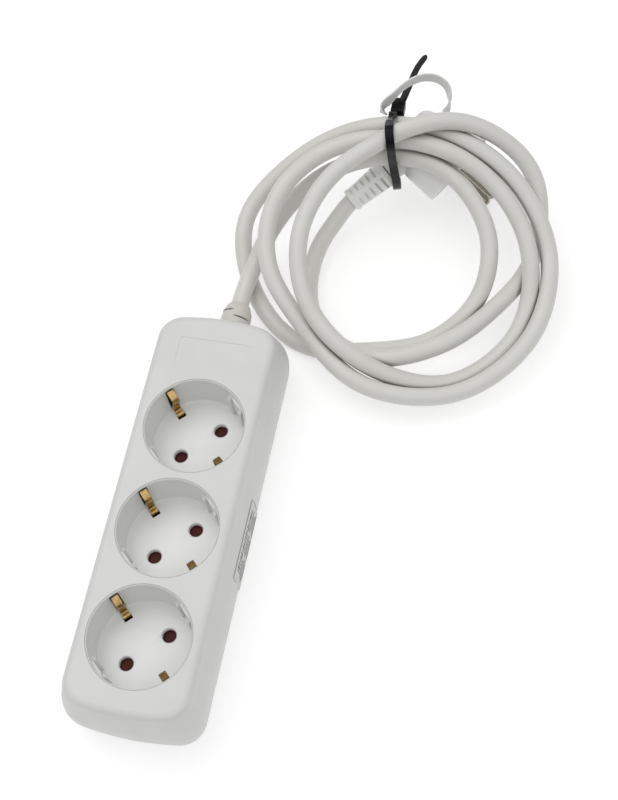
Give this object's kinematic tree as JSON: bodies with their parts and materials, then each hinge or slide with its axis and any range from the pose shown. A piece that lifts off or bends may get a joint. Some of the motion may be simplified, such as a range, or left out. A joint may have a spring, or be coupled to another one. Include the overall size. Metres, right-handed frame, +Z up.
{
  "type": "power strip",
  "caption": "Slim white mains power strip with round earthed sockets, a loosely coiled lead held by a cable tie, and an angled plug.",
  "frame": {"origin": "middle of the strip's footprint, on the surface that it rests on", "axes": "+Z up out of the sockets, +Y along the strip towards the lead, +X across it"},
  "size_m": [0.1574, 0.2997, 0.0559],
  "materials": {
    "shell": "white ABS shell, fine satin grain with slight handling marks",
    "insert": "smooth white thermoplastic well",
    "inner_plastic": "plain grey moulded plastic",
    "shutter": "dark maroon moulded plastic",
    "brass": "bent bright brass strip, worn where the plug rubs",
    "steel": "zinc-plated steel",
    "cord": "flexible white PVC jacket, satin, slightly soiled",
    "gland": "soft beige PVC",
    "plug": "moulded white PVC, satin",
    "nickel": "nickel-plated brass",
    "tie": "glossy black nylon",
    "band": "thin flexible white plastic band",
    "label": "blank printed paper sticker",
    "live_wire": "brown PVC insulation",
    "neutral_wire": "blue PVC insulation",
    "earth_wire": "green and yellow PVC insulation"
  },
  "bodies": {
    "housing": {"top_housing": "shell", "bottom_cover": "shell", "rating_label": "label", "housing_screw_1": "steel", "housing_screw_2": "steel", "housing_screw_3": "steel", "housing_screw_4": "steel", "clamp_screw_1": "steel", "clamp_screw_2": "steel", "cord_clamp": "inner_plastic", "socket_insert_1": "insert", "shutter_carrier_1": "inner_plastic", "shutter_spring_1": "steel", "live_contact_1": "brass", "neutral_contact_1": "brass", "socket_insert_2": "insert", "shutter_carrier_2": "inner_plastic", "shutter_spring_2": "steel", "live_contact_2": "brass", "neutral_contact_2": "brass", "socket_insert_3": "insert", "shutter_carrier_3": "inner_plastic", "shutter_spring_3": "steel", "live_contact_3": "brass", "neutral_contact_3": "brass", "live_busbar": "brass", "neutral_busbar": "brass", "earth_busbar": "brass", "live_wire": "live_wire", "neutral_wire": "neutral_wire", "earth_wire": "earth_wire", "cord_inner_end": "cord", "cord_gland": "gland", "mains_cord": "cord", "plug_body": "plug", "plug_bridge": "plug", "plug_strain_relief": "plug", "plug_pin_1": "nickel", "plug_earth_strip_1": "nickel", "plug_pin_2": "nickel", "plug_earth_strip_2": "nickel", "cable_tie": "tie", "band_loop": "band"},
    "shutter_1": {"shutter_1": "shutter"},
    "shutter_2": {"shutter_2": "shutter"},
    "shutter_3": {"shutter_3": "shutter"},
    "earth_clip_upper_1": {"earth_clip_upper_1": "brass"},
    "earth_clip_upper_2": {"earth_clip_upper_2": "brass"},
    "earth_clip_upper_3": {"earth_clip_upper_3": "brass"},
    "earth_clip_lower_1": {"earth_clip_lower_1": "brass"},
    "earth_clip_lower_2": {"earth_clip_lower_2": "brass"},
    "earth_clip_lower_3": {"earth_clip_lower_3": "brass"}
  },
  "joints": [
    {"name": "shutter_turn_1", "type": "hinge", "parent": "housing", "child": "shutter_1", "pos_m": [0, 0.03365, 0.015], "axis": [0, 0, 1], "range_deg": [0, 38], "stiffness_Nm_per_rad": 0.002, "springref_deg": -11.46},
    {"name": "shutter_turn_2", "type": "hinge", "parent": "housing", "child": "shutter_2", "pos_m": [0, -0.00925, 0.015], "axis": [0, 0, 1], "range_deg": [0, 38], "stiffness_Nm_per_rad": 0.002, "springref_deg": -11.46},
    {"name": "shutter_turn_3", "type": "hinge", "parent": "housing", "child": "shutter_3", "pos_m": [0, -0.05215, 0.015], "axis": [0, 0, 1], "range_deg": [0, 38], "stiffness_Nm_per_rad": 0.002, "springref_deg": -11.46},
    {"name": "earth_clip_upper_flex_1", "type": "hinge", "parent": "housing", "child": "earth_clip_upper_1", "pos_m": [-0.01273, 0.04638, 0.01905], "axis": [-0.7071, -0.7071, 0], "range_deg": [0, 3], "stiffness_Nm_per_rad": 0.05},
    {"name": "earth_clip_upper_flex_2", "type": "hinge", "parent": "housing", "child": "earth_clip_upper_2", "pos_m": [-0.01273, 0.00348, 0.01905], "axis": [-0.7071, -0.7071, 0], "range_deg": [0, 3], "stiffness_Nm_per_rad": 0.05},
    {"name": "earth_clip_upper_flex_3", "type": "hinge", "parent": "housing", "child": "earth_clip_upper_3", "pos_m": [-0.01273, -0.03942, 0.01905], "axis": [-0.7071, -0.7071, 0], "range_deg": [0, 3], "stiffness_Nm_per_rad": 0.05},
    {"name": "earth_clip_lower_flex_1", "type": "hinge", "parent": "housing", "child": "earth_clip_lower_1", "pos_m": [0.01273, 0.02092, 0.01905], "axis": [0.7071, 0.7071, 0], "range_deg": [0, 3], "stiffness_Nm_per_rad": 0.05},
    {"name": "earth_clip_lower_flex_2", "type": "hinge", "parent": "housing", "child": "earth_clip_lower_2", "pos_m": [0.01273, -0.02198, 0.01905], "axis": [0.7071, 0.7071, 0], "range_deg": [0, 3], "stiffness_Nm_per_rad": 0.05},
    {"name": "earth_clip_lower_flex_3", "type": "hinge", "parent": "housing", "child": "earth_clip_lower_3", "pos_m": [0.01273, -0.06488, 0.01905], "axis": [0.7071, 0.7071, 0], "range_deg": [0, 3], "stiffness_Nm_per_rad": 0.05}
  ]
}
